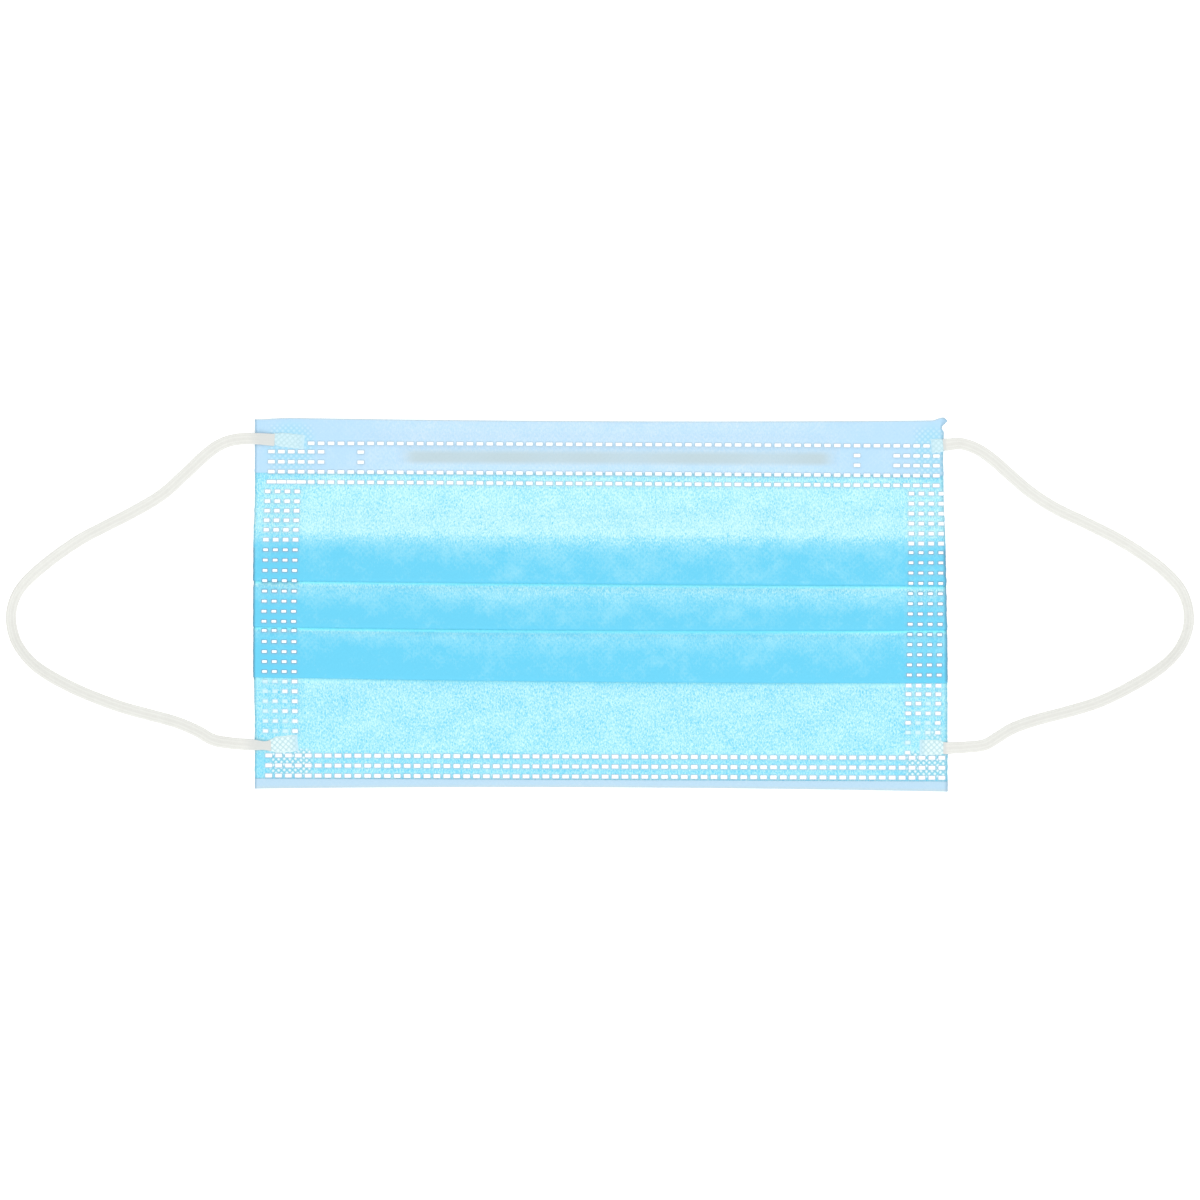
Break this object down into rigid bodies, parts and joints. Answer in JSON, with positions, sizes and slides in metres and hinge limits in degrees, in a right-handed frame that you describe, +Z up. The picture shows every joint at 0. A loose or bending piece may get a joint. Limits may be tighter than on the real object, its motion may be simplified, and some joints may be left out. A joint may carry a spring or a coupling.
{
  "type": "disposable face mask",
  "caption": "Flat pleated disposable face mask with a turned nose hem over a bendable wire, folds pointing to the chin and elastic ear loops spread out on a surface.",
  "frame": {"origin": "under the middle of the mask's body, on the surface that it lies on, ear loops left out", "axes": "+X along the nose edge towards the right as seen from the front, +Y from the chin edge to the nose edge, +Z up, out of the blue front"},
  "size_m": [0.3008, 0.094, 0.0056],
  "materials": {
    "nonwoven_front": "light blue spunbond polypropylene, matt with a faint sheen",
    "nonwoven_hem": "white spunbond polypropylene, thin enough for the blue to show through",
    "wire_coating": "white plastic coating over a thin steel core",
    "loop_elastic": "off-white knitted elastic",
    "weld_film": "fibres crushed to a pale, slightly glossy film by welding"
  },
  "bodies": {
    "root": {"pleated_panel": "nonwoven_front", "top_hem": "nonwoven_hem", "bottom_hem": "nonwoven_hem", "nose_wire": "wire_coating", "loop_weld_upper_left": "weld_film", "loop_weld_lower_left": "weld_film", "loop_weld_upper_right": "weld_film", "loop_weld_lower_right": "weld_film", "ear_loop_left": "loop_elastic", "ear_loop_right": "loop_elastic"}
  },
  "joints": []
}
